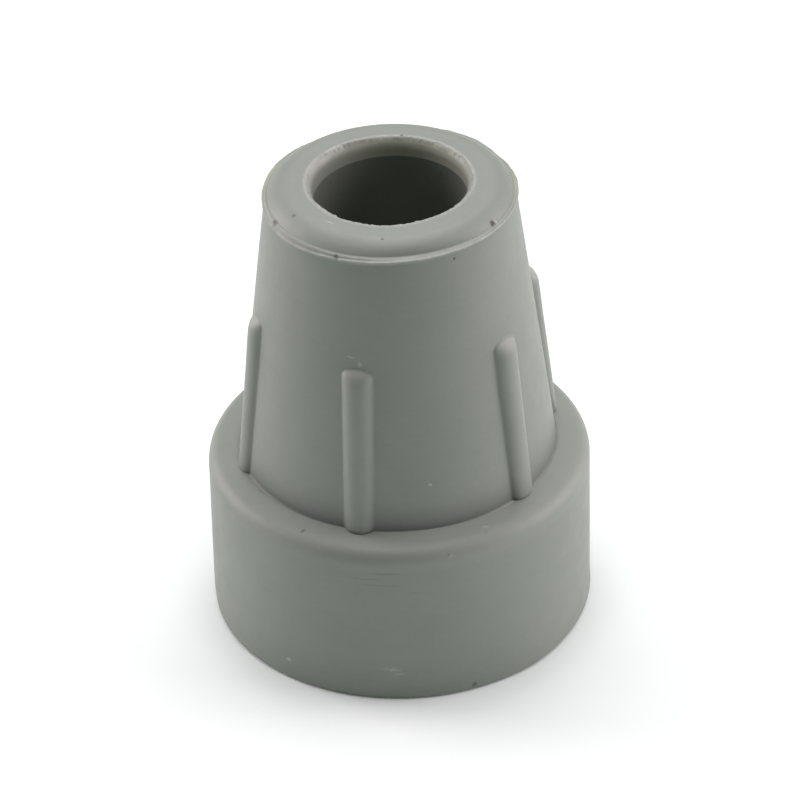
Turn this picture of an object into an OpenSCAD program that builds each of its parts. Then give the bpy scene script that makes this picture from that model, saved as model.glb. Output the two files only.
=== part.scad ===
// Rubber cane tip: one moulding with a wide foot, a tapered ribbed neck and
// a blind bore that a 19 mm shaft is pushed into.

/* [Foot] */
// Diameter at the tread
foot_d = 49.2; // [46:0.1:52]
// Diameter at the top of the straight wall
foot_top_d = 48.6; // [46:0.1:52]
// Height of the straight wall, up to the shoulder
foot_h = 20.9; // [18:0.1:24]
// Radius of the shoulder
shoulder_r = 2.2; // [1:0.1:3]
// Radius of the edge around the tread
tread_edge_r = 0.5; // [0.2:0.1:1]

/* [Tread] */
// Mean radii of the ring grooves under the foot
groove_radii = [8, 13.5, 19];
// Width of each groove
groove_w = 1.4; // [0.8:0.1:2]
// Depth of each groove
groove_depth = 1; // [0.5:0.1:2]

/* [Neck] */
// Diameter where the neck meets the shoulder ledge
neck_base_d = 40.4; // [39:0.1:42]
// Diameter under the parting bead
neck_top_d = 31; // [29:0.1:32]
// Height of the foot of the neck
neck_base_z = 23.45; // [23.3:0.05:24]
// Slope of the shoulder ledge, outwards and down
ledge_slope = 9; // [6:1:12]

/* [Cap] */
// Overall height
total_h = 62; // [60:0.1:64]
// Height of the parting ledge round the cap
parting_z = 60.4; // [59.8:0.1:60.6]
// Diameter of the cap, were its edge carried down square
cap_d = 30.2; // [29:0.1:30.4]
// Radius of the cap's outer edge
cap_edge_r = 2.7; // [2:0.1:3.5]
// How far the parting bead stands out of the neck
bead_out = 0.25; // [0.1:0.05:0.4]
// Height of the parting bead
bead_h = 0.4; // [0.2:0.1:0.8]

/* [Bore] */
// Diameter of the bore
bore_d = 19; // [18:0.1:20]
// Thickness of rubber under the bore
bore_floor = 18; // [12:0.5:24]
// Radius round the bore's floor
floor_r = 1.5; // [0.5:0.1:3]
// Diameter of the mouth
mouth_d = 20.1; // [20.1:0.1:21]
// Depth of the tapered lead-in at the mouth
lead_in = 2.6; // [1.5:0.1:4]
// Radius of the mouth's edge
mouth_r = 0.3; // [0.1:0.1:0.5]

/* [Ribs] */
// Width of a rib at the neck's surface
rib_w = 3.8; // [3:0.1:5]
// How far a rib stands out of the neck
rib_out = 1.3; // [0.8:0.1:1.6]
// Height of the ribs' lower and upper ends
rib_z = [23.1, 45.9];
// Radius of the domes that the ribs end in
rib_dome_r = 2.3; // [2.2:0.1:4]
// Places of the ribs round the neck, anticlockwise from the front
rib_angles = [0, 65, 120, 180, 240, 300];

/* [Hidden] */
$fn = 96;
neck_base_r = neck_base_d / 2;
neck_top_r = neck_top_d / 2;
neck_top_z = parting_z - bead_h;
neck_lean = atan((neck_base_r - neck_top_r) / (neck_top_z - neck_base_z));
bore_r = bore_d / 2;
cap_r = cap_d / 2;
bead_r = neck_top_r + bead_out;
shoulder_c = [foot_top_d / 2 - shoulder_r, foot_h];
// where the cap's rounded edge comes down to the parting ledge
cap_foot_angle = asin((parting_z - (total_h - cap_edge_r)) / cap_edge_r);
// a rib's back is a round bar, sunk into the neck so that rib_out shows
rib_bar_r = (pow(rib_w / 2, 2) + pow(rib_out, 2)) / (2 * rib_out);
rib_len = (rib_z[1] - rib_z[0]) / cos(neck_lean);
rib_foot_r = neck_base_r - (rib_z[0] - neck_base_z) * tan(neck_lean);

// points along an arc of centre c and radius r, from angle a0 to a1
function arc(c, r, a0, a1, steps = 8) =
    [for (i = [0:steps]) let (a = a0 + (a1 - a0) * i / steps) c + r * [cos(a), sin(a)]];

// half section of the moulding, from the axis round the outside and back down the bore
module half_section() {
    polygon(concat(
        [[0, 0]],
        [for (r = groove_radii, side = [-1, 1], z = side < 0 ? [0, groove_depth] : [groove_depth, 0])
            [r + side * groove_w / 2, z]],
        arc([foot_d / 2 - tread_edge_r, tread_edge_r], tread_edge_r, -90, 0),
        arc(shoulder_c, shoulder_r, 0, 90 - ledge_slope),
        [[neck_base_r, neck_base_z]],
        [[neck_top_r, neck_top_z]],
        [[bead_r, parting_z - bead_h * 0.7]],
        [[bead_r, parting_z - bead_h * 0.2]],
        arc([cap_r - cap_edge_r, total_h - cap_edge_r], cap_edge_r, cap_foot_angle, 90),
        arc([mouth_d / 2 + mouth_r, total_h - mouth_r], mouth_r, 90, 180),
        [[bore_r, total_h - lead_in]],
        arc([bore_r - floor_r, bore_floor + floor_r], floor_r, 0, -90),
        [[0, bore_floor]]
    ));
}

// one rib: a round bar with domed ends, leaning with the neck
module rib() {
    dome_half = asin(rib_bar_r / rib_dome_r);
    translate([rib_foot_r, 0, rib_z[0]])
        rotate([0, -neck_lean, 0])
            translate([rib_out - rib_bar_r, 0, 0])
                rotate_extrude()
                    polygon(concat(
                        arc([0, rib_dome_r], rib_dome_r, -90, dome_half - 90),
                        arc([0, rib_len - rib_dome_r], rib_dome_r, 90 - dome_half, 90)
                    ));
}

module cane_tip() {
    color([0.52, 0.54, 0.51])
        union() {
            rotate_extrude() half_section();
            for (a = rib_angles)
                rotate([0, 0, a - 90]) rib();
        }
}

cane_tip();
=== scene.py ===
import math

import bmesh
import bpy
from mathutils import Matrix, Vector, noise


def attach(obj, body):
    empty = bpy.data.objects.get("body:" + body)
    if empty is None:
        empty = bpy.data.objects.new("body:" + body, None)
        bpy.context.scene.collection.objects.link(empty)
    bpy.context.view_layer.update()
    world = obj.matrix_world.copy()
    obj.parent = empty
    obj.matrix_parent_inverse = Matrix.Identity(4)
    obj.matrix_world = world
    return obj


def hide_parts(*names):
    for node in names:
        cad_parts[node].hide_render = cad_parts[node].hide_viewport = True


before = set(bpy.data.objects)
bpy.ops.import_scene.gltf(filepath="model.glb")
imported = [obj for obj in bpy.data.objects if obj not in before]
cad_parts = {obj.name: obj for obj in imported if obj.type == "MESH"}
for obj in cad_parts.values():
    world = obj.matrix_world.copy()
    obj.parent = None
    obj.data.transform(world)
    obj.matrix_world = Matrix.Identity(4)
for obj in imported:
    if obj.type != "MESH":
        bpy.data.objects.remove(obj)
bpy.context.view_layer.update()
MM = 0.001

# ---------------------------------------------------------------- Camera
# A long lens, close in and from above, standing a little to the right of the
# front rib. The horizon is tipped slightly, so the tip leans to the left.
camera_side = math.radians(15.2)
camera_height = math.radians(35.4)
camera_roll = math.radians(-1.872)
camera_distance = 484.68 * MM
camera_aim = Vector((0.386, 0, 29.03)) * MM

camera_data = bpy.data.cameras.new("camera")
camera_data.sensor_width = 36
camera_data.lens = 171.65
camera_data.clip_start = 0.01
camera = bpy.data.objects.new("camera", camera_data)
bpy.context.scene.collection.objects.link(camera)
camera.matrix_world = (
    Matrix.Rotation(camera_side, 4, "Z")
    @ Matrix.Translation(camera_aim)
    @ Matrix.Rotation(math.pi / 2 - camera_height, 4, "X")
    @ Matrix.Translation((0, 0, camera_distance))
    @ Matrix.Rotation(camera_roll, 4, "Z")
)
bpy.context.scene.camera = camera

# ---------------------------------------------------------------- Moulded tip
# The whole tip is one grey rubber moulding: a wide foot, a tapered neck with six
# ribs, and a blind bore. It is pressed in a two-part mould that closes just under
# the cap, where a thin lip of flash is left, and it is pulled off a core pin.

# The half section is drawn in millimetres, from the middle of the tread, round the
# outside and down the bore. Each point carries the name of the stretch it is on.
section = []


def add_points(stretch, points):
    section.extend((stretch, r, z) for r, z in points)


def arc(centre, radius, start, end, steps):
    """Points along an arc, at angles in degrees from straight outwards."""
    angles = (math.radians(start + (end - start) * i / steps) for i in range(steps + 1))
    return [(centre[0] + radius * math.cos(a), centre[1] + radius * math.sin(a)) for a in angles]


def line(start, end, steps):
    """Points along a line, without its first point."""
    return [
        tuple(a + (b - a) * i / steps for a, b in zip(start, end)) for i in range(1, steps + 1)
    ]


# Tread, with three ring grooves
foot_r, foot_top_r, foot_h = 24.6, 24.3, 20.9
groove_w, groove_depth, groove_edge = 1.4, 1.0, 0.15
groove_top = groove_depth - groove_edge
add_points("tread", [(0, 0), (2.5, 0), (5, 0)])
for groove_r in (8, 13.5, 19):
    inner, outer = groove_r - groove_w / 2, groove_r + groove_w / 2
    for centre, start, end in (
        ((inner - groove_edge, groove_edge), -90, 0),
        ((inner + groove_edge, groove_top), 180, 90),
        ((outer - groove_edge, groove_top), 90, 0),
        ((outer + groove_edge, groove_edge), 180, 270),
    ):
        add_points("tread", arc(centre, groove_edge, start, end, 2))
tread_edge = 0.7
add_points("tread", line((outer + groove_edge, 0), (foot_r - tread_edge, 0), 3)[:2])
add_points("tread", arc((foot_r - tread_edge, tread_edge), tread_edge, -90, 0, 6))

# Straight wall and rounded shoulder
shoulder_r = 2.2
add_points("wall", line((foot_r, tread_edge), (foot_top_r, foot_h), 16)[:-1])
ledge_slope = 9
add_points("wall", arc((foot_top_r - shoulder_r, foot_h), shoulder_r, 0, 90 - ledge_slope, 10))

# Ledge, the small fillet where it meets the neck, and the leaning neck. Between the
# ribs the foot of the neck spreads by up to toe.
neck_base_r, neck_base_z = 20.2, 23.45
neck_top_r, neck_top_z = 15.5, 60.0
neck_taper = (neck_base_r - neck_top_r) / (neck_top_z - neck_base_z)
fillet, toe = 0.05, 0.14
ledge_tan = math.tan(math.radians(ledge_slope))
ledge_end = section[-1][1:]
fillet_start = (neck_base_r + fillet, neck_base_z - fillet * ledge_tan)
fillet_end = (neck_base_r - fillet * neck_taper, neck_base_z + fillet)
add_points("ledge", line(ledge_end, fillet_start, 8))
for i in (1, 2, 3):
    u = i / 4
    corner = (neck_base_r, neck_base_z)
    add_points("fillet", [tuple(
        a * (1 - u) ** 2 + 2 * c * u * (1 - u) + b * u * u
        for a, b, c in zip(fillet_start, fillet_end, corner)
    )])


def neck_r(z):
    return neck_base_r - (z - neck_base_z) * neck_taper


# rings up the neck, close together at both ends of the ribs: height and spacing
neck_top_ring = 59.0
neck_steps = [
    (24.7, 0.1), (25.6, 0.3), (43.6, 1.2), (44.6, 0.25), (46.3, 0.1), (47.6, 0.4),
    (58.6, 1.1), (neck_top_ring, 0.2),
]
neck_heights = [fillet_end[1]]
for top, step in neck_steps:
    count = max(1, round((top - neck_heights[-1]) / step))
    first = neck_heights[-1]
    neck_heights += [first + (top - first) * i / count for i in range(1, count + 1)]
add_points("neck", [(neck_r(z), z) for z in neck_heights])

# Flash band: nine rings that are placed one by one further on
band_rings = 9
band_end = (14.87, 60.4)
add_points("band", line((neck_r(neck_top_ring), neck_top_ring), band_end, band_rings + 1)[:-1])

# Cap, the mouth's edge, the tapered lead-in and the bore
total_h, cap_edge_r, cap_r = 62.0, 2.7, 15.1
cap_centre = (cap_r - cap_edge_r, total_h - cap_edge_r)
cap_foot_z = 60.42
cap_foot_angle = math.degrees(math.asin((cap_foot_z - cap_centre[1]) / cap_edge_r))
add_points("cap", arc(cap_centre, cap_edge_r, cap_foot_angle, 90, 14))
mouth_r, mouth_edge, lead_in, bore_r = 10.05, 0.3, 2.6, 9.5
# depth and radius, from the rounded edge down the lead-in
mouth_steps = [
    (0.03, 10.25), (0.09, 10.14), (0.17, 10.04), (0.27, 9.95), (0.38, 9.87), (0.5, 9.79),
    (0.63, 9.72), (0.78, 9.66), (0.95, 9.61), (1.15, 9.575), (1.6, 9.54), (2.0, 9.525),
    (2.5, 9.51),
]
bore_floor, floor_edge = 18.0, 1.5
add_points("cap", line((cap_centre[0], total_h), (mouth_r + mouth_edge, total_h), 5))
add_points("mouth", [(r, total_h - deep) for deep, r in mouth_steps])
throat_z = total_h - lead_in
add_points("bore", [(bore_r, throat_z + 0.03), (bore_r, throat_z - 0.1)])
add_points("bore", line((bore_r, throat_z - 0.1), (bore_r, bore_floor + floor_edge), 14)[:-1])
add_points("bore", arc((bore_r - floor_edge, bore_floor + floor_edge), floor_edge, 0, -90, 5))
add_points("bore", line((bore_r - floor_edge, bore_floor), (0, bore_floor), 2))

# Ribs: each is a bar with a rounded back and blunt ends, sunk into the neck. The mould
# has worn, so they differ: how far one stands out and its half width, at its top and at
# its foot, how many degrees its top and foot wander round the neck, how deep its section
# is sunk, and how far its top stops short.
rib_shapes = [
    (0, (1.25, 0.95), (1.95, 1.87), (-0.4, 0.3), 0.6, 0.15),
    (65, (1.2, 0.95), (1.94, 1.87), (0.0, -0.55), 0.6, 0.1),
    (120, (1.35, 1.0), (1.92, 1.86), (0.2, 0.8), 0.5, 0),
    (180, (1.25, 0.95), (1.94, 1.88), (-0.3, 0.1), 0.6, 0.1),
    (240, (1.2, 0.95), (1.92, 1.86), (0.1, 0.5), 0.6, 0.1),
    (300, (1.17, 0.82), (1.85, 1.72), (-0.3, 1.5), 1.3, 0.2),
]
rib_angles = [shape[0] for shape in rib_shapes]
rib_low, rib_high, rib_top_round, rib_foot_round = 23.1, 45.9, 1.15, 0.7
rib_square, rib_end_square = 2.1, 2.1
# how far down a rib's top slopes and by how much, and how soft its foot is on the neck
rib_slope, rib_droop, rib_soft = 2.4, 0.72, 0.12
rib_lean = math.cos(math.atan(neck_taper))
rib_zone = 9.5

# Columns round the tip: close together across each rib, a degree or so apart between
rib_columns, side_columns = 18, 5
column_places = []
for k, angle in enumerate(rib_angles):
    for i in range(-side_columns - rib_columns // 2, side_columns + rib_columns // 2 + 1):
        across = i / (rib_columns // 2)
        column_places.append((k, across))
    following = rib_angles[(k + 1) % len(rib_angles)] + (360 if k + 1 == len(rib_angles) else 0)
    gap = following - angle - 2 * rib_zone
    between = round(gap / 1.05)
    column_places += [
        (None, angle + rib_zone + gap * i / between) for i in range(1, between)
    ]
columns = len(column_places)
side_reach = side_columns / (rib_columns // 2)

# The section is spun once round, and the seam and the two poles are closed
tip = bmesh.new()
ring_of = tip.verts.layers.int.new("ring")
flash_and_highlight_of = tip.verts.layers.float.new("flash_and_highlight")
crease_shade_of = tip.verts.layers.float.new("crease_shade")
olive_of = tip.verts.layers.float.new("olive")
highlight_and_paler_of = tip.verts.layers.float.new("highlight_and_paler")
bore_of = tip.verts.layers.float.new("bore")
previous = None
for ring, (stretch, r, z) in enumerate(section):
    vertex = tip.verts.new((0, -r, z))
    vertex[ring_of] = ring
    if previous:
        tip.edges.new((previous, vertex))
    previous = vertex
bmesh.ops.spin(
    tip, geom=tip.verts[:] + tip.edges[:], cent=(0, 0, 0), axis=(0, 0, 1),
    angle=2 * math.pi, steps=columns, use_merge=True,
)
bmesh.ops.remove_doubles(tip, verts=tip.verts, dist=1e-5)


def rib_section(k, z):
    """How far a rib stands out, its half width and its wander, at a height."""
    share = min(max((rib_high - z) / (rib_high - rib_low), 0), 1)
    return tuple(top + (low - top) * share for top, low in rib_shapes[k][1:4])


def rib_end_size(along, round_off):
    """Size of a rib's section near an end, as a share of its full size."""
    if along >= round_off:
        return 1.0
    return max(0, 1 - (1 - max(along, 0) / round_off) ** rib_end_square) ** (1 / rib_end_square)


def sunk_bar(k, out, half):
    """How much of a rib's bar is sunk, as a share of it, and the whole bar's half width."""
    deep = rib_shapes[k][4]
    share = deep / (out + deep)
    return share, half / (1 - share ** rib_square) ** (1 / rib_square)


def rib_height(k, across, z):
    """How far a rib stands out of the neck, with a small fillet along its foot."""
    out, half = rib_section(k, z)[:2]
    deep, short = rib_shapes[k][4:]
    from_top = (rib_high - short - z) / rib_lean
    size = min(rib_end_size((z - rib_low) / rib_lean, rib_foot_round),
               rib_end_size(from_top, rib_top_round))
    bar_half = sunk_bar(k, out, half)[1]
    inside = size ** rib_square - (abs(across) / bar_half) ** rib_square
    height = math.copysign(abs(inside) ** (1 / rib_square), inside) * (out + deep) - deep
    if height > 0:
        height *= 1 - rib_droop * max(0, 1 - max(0, from_top) / rib_slope) ** 2
    return (height + math.sqrt(height * height + rib_soft * rib_soft)) / 2


def bump(x, centre, width):
    """A smooth rise from 0 to 1 and back, round centre; for angles, in degrees."""
    away = (x - centre + 180) % 360 - 180
    return math.exp(-(away / width) ** 2)


def along_ring(table, angle):
    """A value read off a table of (angle, value) pairs that goes once round."""
    angle %= 360
    table = sorted((a % 360, v) for a, v in table)
    table = [(table[-1][0] - 360, table[-1][1])] + table + [(table[0][0] + 360, table[0][1])]
    for (a, v), (b, w) in zip(table, table[1:]):
        if a <= angle <= b:
            return v + (w - v) * (angle - a) / (b - a)
    return table[0][1]


# The mouth's edge, a little out of round, and the thin flash that stands up round it at
# the back, where the core pin met the cap. Part of the flash is torn away.
mouth_edge_r = [
    (-165, 10.05), (-145, 10.08), (-125, 10.1), (-110, 10.12), (-90, 10.12), (-78, 10.05),
    (-65, 10.1), (-55, 10.08), (-47, 9.95), (-38, 9.88), (-22, 10.04), (-7, 9.97), (8, 10.02),
    (21, 9.93), (32, 9.8), (44, 9.74), (62, 9.86), (77, 9.88), (91, 9.95), (112, 9.98),
    (140, 10), (156, 10.03), (172, 10.05), (186, 10.05),
]
mouth_flash = [
    (30, 0), (70, 0.02), (100, 0.04), (140, 0.05), (160, 0.09), (175, 0.12), (188, 0.14),
    (197, 0.06), (208, 0.18), (216, 0.3), (224, 0.38), (227.6, 0.4), (228.8, -0.1), (233, 0.02),
    (238, 0.16), (243, 0.2), (247, -0.06), (252, 0.0), (262, 0.08), (275, 0.05), (300, 0.02),
    (340, 0),
]


def cap_foot_r(angle):
    return 15.2 - 0.33 * bump(angle, 33, 30)


# how much higher or lower the flash's lip stands than an even wave would put it
lip_rise = [
    (-155, 0.0), (-140, 0.28), (-131, 0.52), (-120, 0.67), (-105, 0.82), (-95, 0.76), (-87, 0.68),
    (-75, 0.42), (-62, 0.12), (-50, -0.08), (-37, -0.14), (-15, 0), (118, -0.05), (130, -0.2),
    (137, -0.17), (145, 0.18), (155, 0.3), (165, 0.36), (175, 0.3), (187, 0.08), (196, 0),
]


def flash_ring(i, angle):
    """Radius and height of one ring of the flash band, from the neck up to the cap."""
    direction = math.radians(angle)
    ragged = noise.noise(Vector((math.sin(direction) * 9, math.cos(direction) * 9, 3)))
    ragged += 0.6 * noise.noise(Vector((math.sin(direction) * 28, math.cos(direction) * 28, 8)))
    lip_z = 60.02 + 0.44 * math.cos(math.radians(angle - 80)) + 0.07 * ragged
    lip_z = min(lip_z, cap_foot_z - 0.06) + along_ring(lip_rise, angle)
    lip_r = 15.76 + 0.06 * ragged
    inner_r = cap_foot_r(angle)
    apart = min(1, max(0, cap_foot_z - lip_z) / 0.5)
    outer_third = (lip_r * 2 + inner_r) / 3
    rings = [
        (neck_r(lip_z - 0.55), lip_z - 0.55),
        (neck_r(lip_z - 0.25) + 0.03, lip_z - 0.25),
        (lip_r - 0.05, lip_z - 0.1),
        (lip_r, lip_z),
        (lip_r - 0.07, lip_z + 0.07),
        (outer_third - 0.02, lip_z + 0.08 + (cap_foot_z - lip_z) * 0.1 - 0.05 * apart),
        ((lip_r + inner_r * 2) / 3 + 0.02, lip_z + (cap_foot_z - lip_z) * 0.6 - 0.07 * apart),
        (inner_r + 0.13, cap_foot_z + 0.02 + 0.03 * ragged),
        (inner_r + 0.03, cap_foot_z + 0.01),
    ]
    return rings[i]


# Nicks where the flash was cut: angle round, radius, height, reach and depth. They are
# pressed in away from a point down inside the neck.
nick_from = Vector((0, 0, 52))
nicks = [
    (-50.7, 15.45, 60.3, 0.5, 0.35),
    (-10.2, 15.7, 60.1, 0.42, 0.3),
    (70.2, 14.95, 60.5, 0.5, 0.3),
]
nick_points = [
    (Vector((r * math.sin(math.radians(a)), -r * math.cos(math.radians(a)), z)), reach, depth)
    for a, r, z, reach, depth in nicks
]
band_first = next(i for i, s in enumerate(section) if s[0] == "band")
above_ledge = ("neck", "band", "cap", "mouth", "bore")
neck_follows_lip = 57
crease_shade_reach = 4.5
# how pale each ring of the flash band is, from the neck up to the cap; the palest, on the lip's
# crest, is a painted highlight
flash_and_highlight_look = (0, 0.1, 0.55, 1, 0.75, 0.2, 0.1, 0.45, 0.3)

for vertex in tip.verts:
    x, y, z = vertex.co
    r = math.hypot(x, y)
    if r < 1e-6:
        continue
    ring = vertex[ring_of]
    stretch = section[ring][0]
    turn = math.atan2(x, -y) % (2 * math.pi)
    place, across_or_angle = column_places[(round(turn / (2 * math.pi) * columns)
                                            + side_columns + rib_columns // 2) % columns]

    # where this column runs
    lean_z = min(max(z, neck_base_z), 47) if stretch in above_ledge else neck_base_z
    reach_r = neck_r(lean_z)
    across = 99.0
    if place is None:
        angle = across_or_angle
    else:
        t = across_or_angle
        out, half, wander = rib_section(place, lean_z)
        sunk, bar_half = sunk_bar(place, out, half)
        size = max(rib_end_size((lean_z - rib_low) / rib_lean, rib_foot_round), sunk * 1.05)
        half = bar_half * (size ** rib_square - sunk ** rib_square) ** (1 / rib_square)
        edge = math.radians(rib_zone) * reach_r
        if abs(t) <= 1:
            swing = abs(t) * math.acos((sunk / size) ** (rib_square / 2))
            across = math.copysign(size * bar_half * math.sin(swing) ** (2 / rib_square), t)
        else:
            across = math.copysign(half + (edge - half) * ((abs(t) - 1) / side_reach) ** 1.7, t)
            wander *= 1 - (abs(across) - half) / (edge - half)
        angle = rib_angles[place] + wander + math.degrees(across / reach_r)

    # the rib, and at its upper end the rings drawn down round its outline
    if place is not None and stretch in ("neck", "fillet", "ledge"):
        if stretch == "neck":
            size = (min(abs(across), half * 0.999) / bar_half) ** rib_square + sunk ** rib_square
            size = min(1, size) ** (rib_end_square / rib_square)
            drop = (1 - sunk ** rib_end_square) ** (1 / rib_end_square)
            drop -= (1 - size) ** (1 / rib_end_square)
            fade = min(1, (edge - abs(across)) / (edge - half))
            rise = bump(z, rib_high - 0.4, 1.9 if z < rib_high - 0.4 else 3.2)
            z -= (rib_top_round * drop * fade + rib_shapes[place][5]) * rise * rib_lean
            r = neck_r(z) + rib_height(place, across, z)
        else:
            foot = rib_height(place, across, neck_base_z + 0.06)
            if stretch == "fillet":
                r += foot
                z -= foot * ledge_tan
            else:
                r += foot * (ledge_end[0] - r) / (ledge_end[0] - neck_base_r)
                z = neck_base_z - (r - neck_base_r) * ledge_tan

    # between the ribs the neck spreads a little where it meets the ledge
    if stretch in ("neck", "fillet", "ledge"):
        spread = toe * (1 - 0.9 * bump(angle, 22, 48))
        if place is not None:
            spread *= max(0, (abs(across) - half) / (edge - half)) ** 0.8
        if stretch != "neck":
            share = min(1, (ledge_end[0] - r) / (ledge_end[0] - neck_base_r))
            r += spread * share
            z -= spread * share * ledge_tan
        elif spread > 0.001 and z < neck_base_z + 2 * spread:
            r += (neck_base_z + 2 * spread - z) ** 2 / (4 * spread)

    # the flash band and the foot of the cap
    if stretch == "band":
        r, z = flash_ring(ring - band_first, angle)
    if stretch == "cap" and z < total_h - 0.01:
        low = ((total_h - z) / (total_h - cap_foot_z)) ** 1.5
        r += low * (cap_foot_r(angle) - 14.85)
    if stretch == "neck" and z > neck_follows_lip:
        stretched = flash_ring(0, angle)[1] - 0.12 - neck_follows_lip
        share = (z - neck_follows_lip) / (neck_top_ring - neck_follows_lip)
        z = neck_follows_lip + stretched * share
        r = neck_r(z)

    # the mouth: its edge is out of round and rough, with flash standing up on it
    flat_top = stretch == "cap" and r < cap_centre[0] - 0.01 and z > total_h - 0.01
    if stretch == "mouth" or flat_top:
        torn = along_ring(mouth_edge_r, angle) - mouth_r
        rough = 0.08 * noise.noise(Vector((math.sin(turn) * 14, math.cos(turn) * 14, 0)))
        rough += 0.26 * noise.noise(Vector((math.sin(turn) * 34, math.cos(turn) * 34, z * 2)))
        torn += rough * max(0, 1 - abs(r - mouth_r - 0.2) / 0.45)
        if stretch == "cap":
            share = (cap_centre[0] - r) / (cap_centre[0] - mouth_r)
        else:
            share = max(0, (z - (total_h - lead_in)) / lead_in) ** 1.5
        r += torn * share
        upright = max(0, 1 - abs(r - mouth_r - torn - 0.05) / 0.3)
        upright *= max(0, 1 - (total_h - z) / 0.6)
        z += upright * along_ring(mouth_flash, angle)
        if abs(r - mouth_r - torn * share - mouth_edge) < 0.02:
            z += 0.05 + 0.06 * noise.noise(Vector((math.sin(turn) * 30, math.cos(turn) * 30, 5)))
            # pale flash with a painted highlight along the mouth's rounded edge
            vertex[flash_and_highlight_of] = 0.9
    # the end of the lead-in is a little tilted
    if stretch in ("mouth", "bore") and z < total_h - 1:
        share = max(0, min(1, (z - 50) / 8, (total_h - z) / 2))
        z += 0.2 * math.cos(math.radians(angle - 145)) * share

    # slack in the rubber: it is never quite round or flat
    direction = math.radians(angle)
    spot = Vector((math.sin(direction) * r, -math.cos(direction) * r, z))
    if stretch in ("wall", "ledge", "neck") and z > 0.6:
        r += 0.035 * noise.noise(spot * 0.09 + Vector((7, 0, 0)))
        r += 0.012 * noise.noise(spot * 0.35)
    right_bulge, left_bulge = bump(angle, 105, 45), bump(angle, -75, 45)
    if stretch in ("wall", "tread") and r > 23:
        low = max(0, 1 - z / 9)
        r += (0.22 * bump(angle, 58, 13) - 0.2 * bump(angle, 2, 24)) * low
    if stretch == "wall":
        upper = min(1, z / foot_h)
        r += (0.3 * upper - 0.09) * right_bulge + 0.06 * left_bulge
    if stretch == "ledge":
        r += (0.21 * right_bulge + 0.06 * left_bulge) * (r - neck_base_r) / 2.3
    if stretch in ("ledge", "wall") and z > foot_h:
        z += 0.03 * noise.noise(spot * 0.2 + Vector((0, 5, 0)))
    vertex.co = (math.sin(direction) * r, -math.cos(direction) * r, z)
    for centre, reach, depth in nick_points:
        away = (vertex.co - centre).length
        if away < reach:
            share = (1 - (away / reach) ** 2) ** 2
            vertex.co -= (centre - nick_from).normalized() * depth * share

    # what the rubber's colour and shine go by: thin pale flash, with a painted highlight on its
    # lip, the mouth's edge and the left of the lead-in; paler ribs with a painted highlight near
    # their tops, and a paler ledge and shoulder; painted shade at the foot of the neck; the
    # yellowed thin edges; and the bore's darker, smoother wall
    band_ring = ring - band_first
    raised = 0
    # paler raised ribs, and a painted highlight near the top of each rib
    if stretch == "neck" and z < 50:
        raised = min(1, max(0, r - neck_r(z) - 0.3) / 0.4)
        near_top = min(1, max(0, 1 - (rib_high - 0.6 - z) / 1.6))
        rib_top_highlight = min(1, max(0, r - neck_r(z) - 0.1) / 0.25) * near_top
        vertex[highlight_and_paler_of] = max(0.2 * raised, rib_top_highlight)
    if stretch == "band":
        # pale flash, brightest as a painted highlight on the lip's crest, and paler round the
        # right front
        vertex[flash_and_highlight_of] = flash_and_highlight_look[band_ring] * (0.85 + 0.4 * bump(angle, 45, 35))
        if band_ring > 2:
            vertex[olive_of] = 0.9 * bump(angle, -92, 13) + 0.8 * bump(angle, 108, 13)
    # painted shade: darker up the foot of the neck, in the corner with the ledge
    if stretch in ("neck", "fillet"):
        low = max(0, 1 - (z - neck_base_z) / crease_shade_reach) ** 1.6
        vertex[crease_shade_of] = (1 - 0.6 * raised) * low
    # painted shade on the ledge at the left, along the foot of the neck
    if stretch == "ledge":
        vertex[crease_shade_of] = 0.6 * bump(angle, -60, 35) * max(0, 1 - (r - neck_base_r) / 0.9)
    if stretch == "mouth":
        below = total_h - z
        vertex[olive_of] = (0.12 + 0.88 * bump(angle, 170, 58)) * min(1, max(0, below) / 0.12)
        # a painted highlight down the left of the lead-in
        vertex[flash_and_highlight_of] = 0.9 * bump(angle, 245, 55) * max(0, 1 - below / 1.4)
    # paler on the ledge and the top of the shoulder, towards the right
    if stretch == "ledge" or (stretch == "wall" and z > foot_h - 1):
        vertex[highlight_and_paler_of] = 0.26 * bump(angle, 70, 75)
    if stretch == "bore":
        vertex[bore_of] = 1.0

bmesh.ops.recalc_face_normals(tip, faces=tip.faces)
bmesh.ops.scale(tip, vec=(MM, MM, MM), verts=tip.verts)
for face in tip.faces:
    face.smooth = True
tip_mesh = bpy.data.meshes.new("rubber_cane_tip")
tip.to_mesh(tip_mesh)
tip.free()
cane_tip = bpy.data.objects.new("rubber_cane_tip", tip_mesh)
bpy.context.scene.collection.objects.link(cane_tip)

# Grey moulded rubber: matt, faintly mottled, with the fine rings of the turned mould
rubber = bpy.data.materials.new("grey_rubber")
rubber.use_nodes = True
tree = rubber.node_tree
tree.nodes.clear()
output = tree.nodes.new("ShaderNodeOutputMaterial")
shader = tree.nodes.new("ShaderNodeBsdfPrincipled")
tree.links.new(shader.outputs["BSDF"], output.inputs["Surface"])
shader.inputs["IOR"].default_value = 1.5
here = tree.nodes.new("ShaderNodeTexCoord").outputs["Object"]


def set_inputs(node, values):
    """Gives a node's inputs their values: a number, a colour or another node's output."""
    for name, value in values.items():
        if isinstance(value, bpy.types.NodeSocket):
            tree.links.new(value, node.inputs[name])
        else:
            node.inputs[name].default_value = value


def mixed(factor, under, over, blend="MIX"):
    node = tree.nodes.new("ShaderNodeMix")
    node.data_type = "RGBA"
    node.blend_type = blend
    set_inputs(node, {0: factor, 6: under, 7: over})
    return node.outputs[2]


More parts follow.
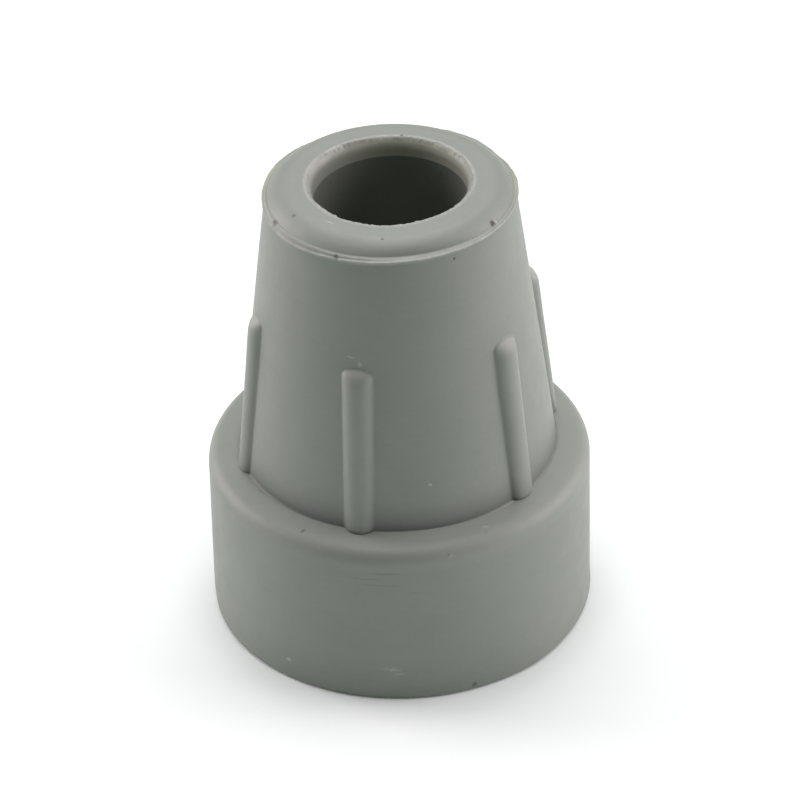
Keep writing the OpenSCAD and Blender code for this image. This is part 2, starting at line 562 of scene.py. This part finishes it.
def noise_field(vector, size_mm, detail=2.0):
    """Soft noise whose lumps are about size_mm across."""
    node = tree.nodes.new("ShaderNodeTexNoise")
    set_inputs(node, {"Vector": vector, "Scale": 1 / (size_mm * MM), "Detail": detail})
    return node.outputs["Fac"]


def ranged(value, low, high, to_low=0.0, to_high=1.0):
    node = tree.nodes.new("ShaderNodeMapRange")
    set_inputs(node, {"Value": value, "From Min": low, "From Max": high})
    set_inputs(node, {"To Min": to_low, "To Max": to_high})
    return node.outputs["Result"]


def math_node(operation, a, b):
    node = tree.nodes.new("ShaderNodeMath")
    node.operation = operation
    set_inputs(node, {0: a, 1: b})
    return node.outputs[0]


def vertex_value(name):
    node = tree.nodes.new("ShaderNodeAttribute")
    node.attribute_name = name
    return node.outputs["Fac"]


# radius and height, for anything that runs in rings round the tip
split = tree.nodes.new("ShaderNodeSeparateXYZ")
set_inputs(split, {"Vector": here})
flat_spot = tree.nodes.new("ShaderNodeCombineXYZ")
set_inputs(flat_spot, {"X": split.outputs["X"], "Y": split.outputs["Y"]})
radius_node = tree.nodes.new("ShaderNodeVectorMath")
radius_node.operation = "LENGTH"
set_inputs(radius_node, {0: flat_spot.outputs["Vector"]})
rings_at = tree.nodes.new("ShaderNodeCombineXYZ")
set_inputs(rings_at, {"X": radius_node.outputs["Value"], "Z": split.outputs["Z"]})
rings = noise_field(rings_at.outputs["Vector"], 0.55, 3.0)

# Small marks: degrees round, radius and height of the middle, then half size round,
# outwards and up, in millimetres
dark_marks = [
    (-50.7, 15.4, 60.35, 0.5, 0.45, 0.45), (-10.4, 15.6, 60.2, 0.28, 0.3, 0.3),
    (70.0, 14.8, 60.75, 0.42, 0.35, 0.4), (-43.9, 13.65, 61.95, 0.35, 0.35, 0.4),
    (10.3, 13.1, 61.95, 0.2, 0.2, 0.4), (186.1, 10.4, 62.1, 0.25, 0.25, 0.4),
    (43.6, 15.6, 59.2, 0.2, 0.3, 0.2), (-17.6, 22.5, 23.0, 0.22, 0.35, 0.25),
    (35.6, 24.6, 0.9, 0.3, 0.5, 0.35), (42.6, 22.4, 22.9, 0.4, 0.3, 0.15),
    (29.1, 23.75, 22.0, 0.2, 0.3, 0.15),
]
pale_marks = [
    (-21.7, 24.55, 3.2, 0.4, 0.4, 0.35), (29.9, 23.8, 21.8, 0.3, 0.4, 0.25),
    (26.2, 19.4, 29.6, 0.25, 0.4, 0.25), (0.7, 17.2, 46.4, 0.3, 0.4, 0.4),
    (-3.0, 17.1, 47.2, 0.5, 0.4, 0.15), (11.2, 24.5, 4.9, 1.2, 0.4, 0.2),
    (13.5, 24.5, 4.2, 0.8, 0.4, 0.15), (72.5, 15.0, 60.75, 0.25, 0.3, 0.4),
    (-23.4, 11.7, 62.0, 0.6, 0.16, 0.4), (43.5, 22.0, 23.0, 0.5, 0.3, 0.2),
]
dark_scratches = [
    (10.8, 24.3, 20.0, 3.2, 0.5, 0.12), (7.3, 24.35, 18.2, 3.4, 0.5, 0.1),
    (20.0, 24.4, 16.9, 1.6, 0.5, 0.1), (4.0, 24.35, 19.1, 2.2, 0.5, 0.09),
]
# noise moves the marks' outlines about by up to this much
wobble_mm = 0.5
wander_at = tree.nodes.new("ShaderNodeVectorMath")
wander_at.operation = "MULTIPLY_ADD"
wobble = tree.nodes.new("ShaderNodeTexNoise")
set_inputs(wobble, {"Vector": here, "Scale": 2200, "Detail": 2.0})
set_inputs(wander_at, {0: wobble.outputs["Color"], 1: (wobble_mm * MM,) * 3, 2: here})


def marks(places, soft):
    """A mask that is 1 in the middle of every mark."""
    together = None
    for angle, r, z, around, outwards, upwards in places:
        direction = math.radians(angle)
        spot = (math.sin(direction) * r, -math.cos(direction) * r, z)
        node = tree.nodes.new("ShaderNodeMapping")
        node.vector_type = "TEXTURE"
        set_inputs(node, {
            "Vector": wander_at.outputs["Vector"],
            "Location": [(c + wobble_mm / 2) * MM for c in spot],
            "Rotation": (0, 0, direction), "Scale": (around * MM, outwards * MM, upwards * MM),
        })
        away = tree.nodes.new("ShaderNodeVectorMath")
        away.operation = "LENGTH"
        set_inputs(away, {0: node.outputs["Vector"]})
        mask = ranged(away.outputs["Value"], 1.2, 1.2 - soft)
        together = mask if together is None else math_node("MAXIMUM", together, mask)
    return together


dark = marks(dark_marks, 0.7)
pale = marks(pale_marks, 0.9)
scratched = marks(dark_scratches, 1.0)

# Colour: two greys in slow patches, then a fine mottle and the turned rings
patches = ranged(noise_field(here, 9), 0.3, 0.7)
mottle = ranged(noise_field(here, 0.7, 3.0), 0.3, 0.7, 0, 0.1)
colour = mixed(patches, (0.228, 0.259, 0.225, 1), (0.239, 0.270, 0.234, 1))
colour = mixed(mottle, colour, (0.17, 0.185, 0.165, 1))
colour = mixed(ranged(rings, 0.35, 0.7, 0, 0.05), colour, (0.33, 0.35, 0.32, 1))
# painted shade at the foot of the neck and on the ledge beside it
colour = mixed(ranged(vertex_value("crease_shade"), 0, 1, 0, 0.55), colour, (0.1, 0.112, 0.1, 1))
# a painted highlight near the rib tops; paler ribs, ledge and shoulder
colour = mixed(ranged(vertex_value("highlight_and_paler"), 0, 1, 0, 0.8), colour, (0.34, 0.365, 0.325, 1))
# pale flash, with a painted highlight along the lip's crest, the mouth's edge and the left of the
# lead-in
flash_and_highlight_fleck = ranged(noise_field(here, 1.3), 0.3, 0.65, 0.35, 0.9)
flash_and_highlight_tint = math_node("MULTIPLY", vertex_value("flash_and_highlight"), flash_and_highlight_fleck)
colour = mixed(flash_and_highlight_tint, colour, (0.41, 0.425, 0.38, 1))
colour = mixed(ranged(vertex_value("olive"), 0, 1, 0, 0.85), colour, (0.35, 0.375, 0.285, 1))
colour = mixed(ranged(vertex_value("bore"), 0, 1, 0, 0.42), colour, (0.06, 0.066, 0.05, 1))
colour = mixed(ranged(pale, 0, 1, 0, 0.55), colour, (0.5, 0.5, 0.46, 1))
colour = mixed(ranged(scratched, 0, 1, 0, 0.25), colour, (0.14, 0.15, 0.13, 1))
colour = mixed(ranged(dark, 0, 1, 0, 0.75), colour, (0.06, 0.06, 0.05, 1))
set_inputs(shader, {"Base Color": colour})

# Shine: matt outside, smoother down the bore
shine = ranged(noise_field(here, 2.5, 3.0), 0.3, 0.7, 0.47, 0.56)
smoother = ranged(vertex_value("bore"), 0, 1, 0, 0.2)
set_inputs(shader, {"Roughness": math_node("SUBTRACT", shine, smoother)})

# Relief: matt grain, turned rings, a slow ripple and the dents of the marks
relief = None
for height, depth_mm, amount in (
    (noise_field(here, 3.0), 0.12, 0.12),
    (rings, 0.05, 0.1),
    (noise_field(here, 0.22, 3.0), 0.03, 0.2),
    (math_node("SUBTRACT", pale, math_node("ADD", dark, scratched)), 0.12, 0.4),
):
    bumps = tree.nodes.new("ShaderNodeBump")
    set_inputs(bumps, {"Height": height, "Distance": depth_mm * MM, "Strength": amount})
    if relief:
        set_inputs(bumps, {"Normal": relief})
    relief = bumps.outputs["Normal"]
set_inputs(shader, {"Normal": relief})

cane_tip.data.materials.append(rubber)
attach(cane_tip, "root")
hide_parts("cane_tip")

# ---------------------------------------------------------------- Floor
# The tip stands on a plain pale light table, which glows a little from below.
floor_mesh = bpy.data.meshes.new("floor")
sheet = bmesh.new()
bmesh.ops.create_grid(sheet, x_segments=1, y_segments=1, size=4)
sheet.to_mesh(floor_mesh)
sheet.free()
floor = bpy.data.objects.new("floor", floor_mesh)
bpy.context.scene.collection.objects.link(floor)
paper = bpy.data.materials.new("pale_paper")
paper.use_nodes = True
paper_inputs = paper.node_tree.nodes["Principled BSDF"].inputs
paper_inputs["Base Color"].default_value = (0.835, 0.91, 0.87, 1)
paper_inputs["Roughness"].default_value = 0.9
paper_inputs["Emission Color"].default_value = (1, 1, 1, 1)
paper_inputs["Emission Strength"].default_value = 0.05
floor.data.materials.append(paper)

# ---------------------------------------------------------------- Light
# Two tall soft boxes at each side, one behind and one overhead, in a dark room, so that
# the front of the tip is lit mostly by the pale table.
bpy.context.scene.view_settings.view_transform = "Standard"


def soft_box(name, side, height, distance, width, tall, power, colour):
    """A soft box that faces the tip, side degrees round from the camera."""
    data = bpy.data.lights.new(name, "AREA")
    data.shape = "RECTANGLE"
    data.size = width
    data.size_y = tall
    data.energy = power
    data.color = colour
    box = bpy.data.objects.new(name, data)
    box.visible_camera = False
    bpy.context.scene.collection.objects.link(box)
    middle = Matrix.Translation((0, 0, 0.03))
    box.matrix_world = (
        middle
        @ Matrix.Rotation(camera_side + math.radians(side), 4, "Z")
        @ Matrix.Rotation(math.radians(90 - height), 4, "X")
        @ Matrix.Translation((0, 0, distance))
    )


warm, overhead = (1, 0.877, 0.945), (1, 0.957, 0.983)
soft_box("left_soft_box", -115, 20, 0.8, 0.35, 0.6, 4.4, warm)
soft_box("left_fill_box", -90, 20, 0.8, 0.35, 0.6, 0.62, warm)
soft_box("right_soft_box", 105, 20, 0.8, 0.35, 0.6, 2.6, warm)
soft_box("right_fill_box", 85, 20, 0.8, 0.35, 0.6, 2.8, warm)
soft_box("back_soft_box", 180, 60, 0.8, 0.6, 0.6, 3.4, overhead)
soft_box("top_soft_box", 0, 89, 0.8, 0.6, 0.6, 3.6, overhead)

# the room beyond the boxes is dark
world = bpy.data.worlds.new("dark_room")
bpy.context.scene.world = world
world.use_nodes = True
world.node_tree.nodes["Background"].inputs["Color"].default_value = (1, 1, 1, 1)
world.node_tree.nodes["Background"].inputs["Strength"].default_value = 0.01
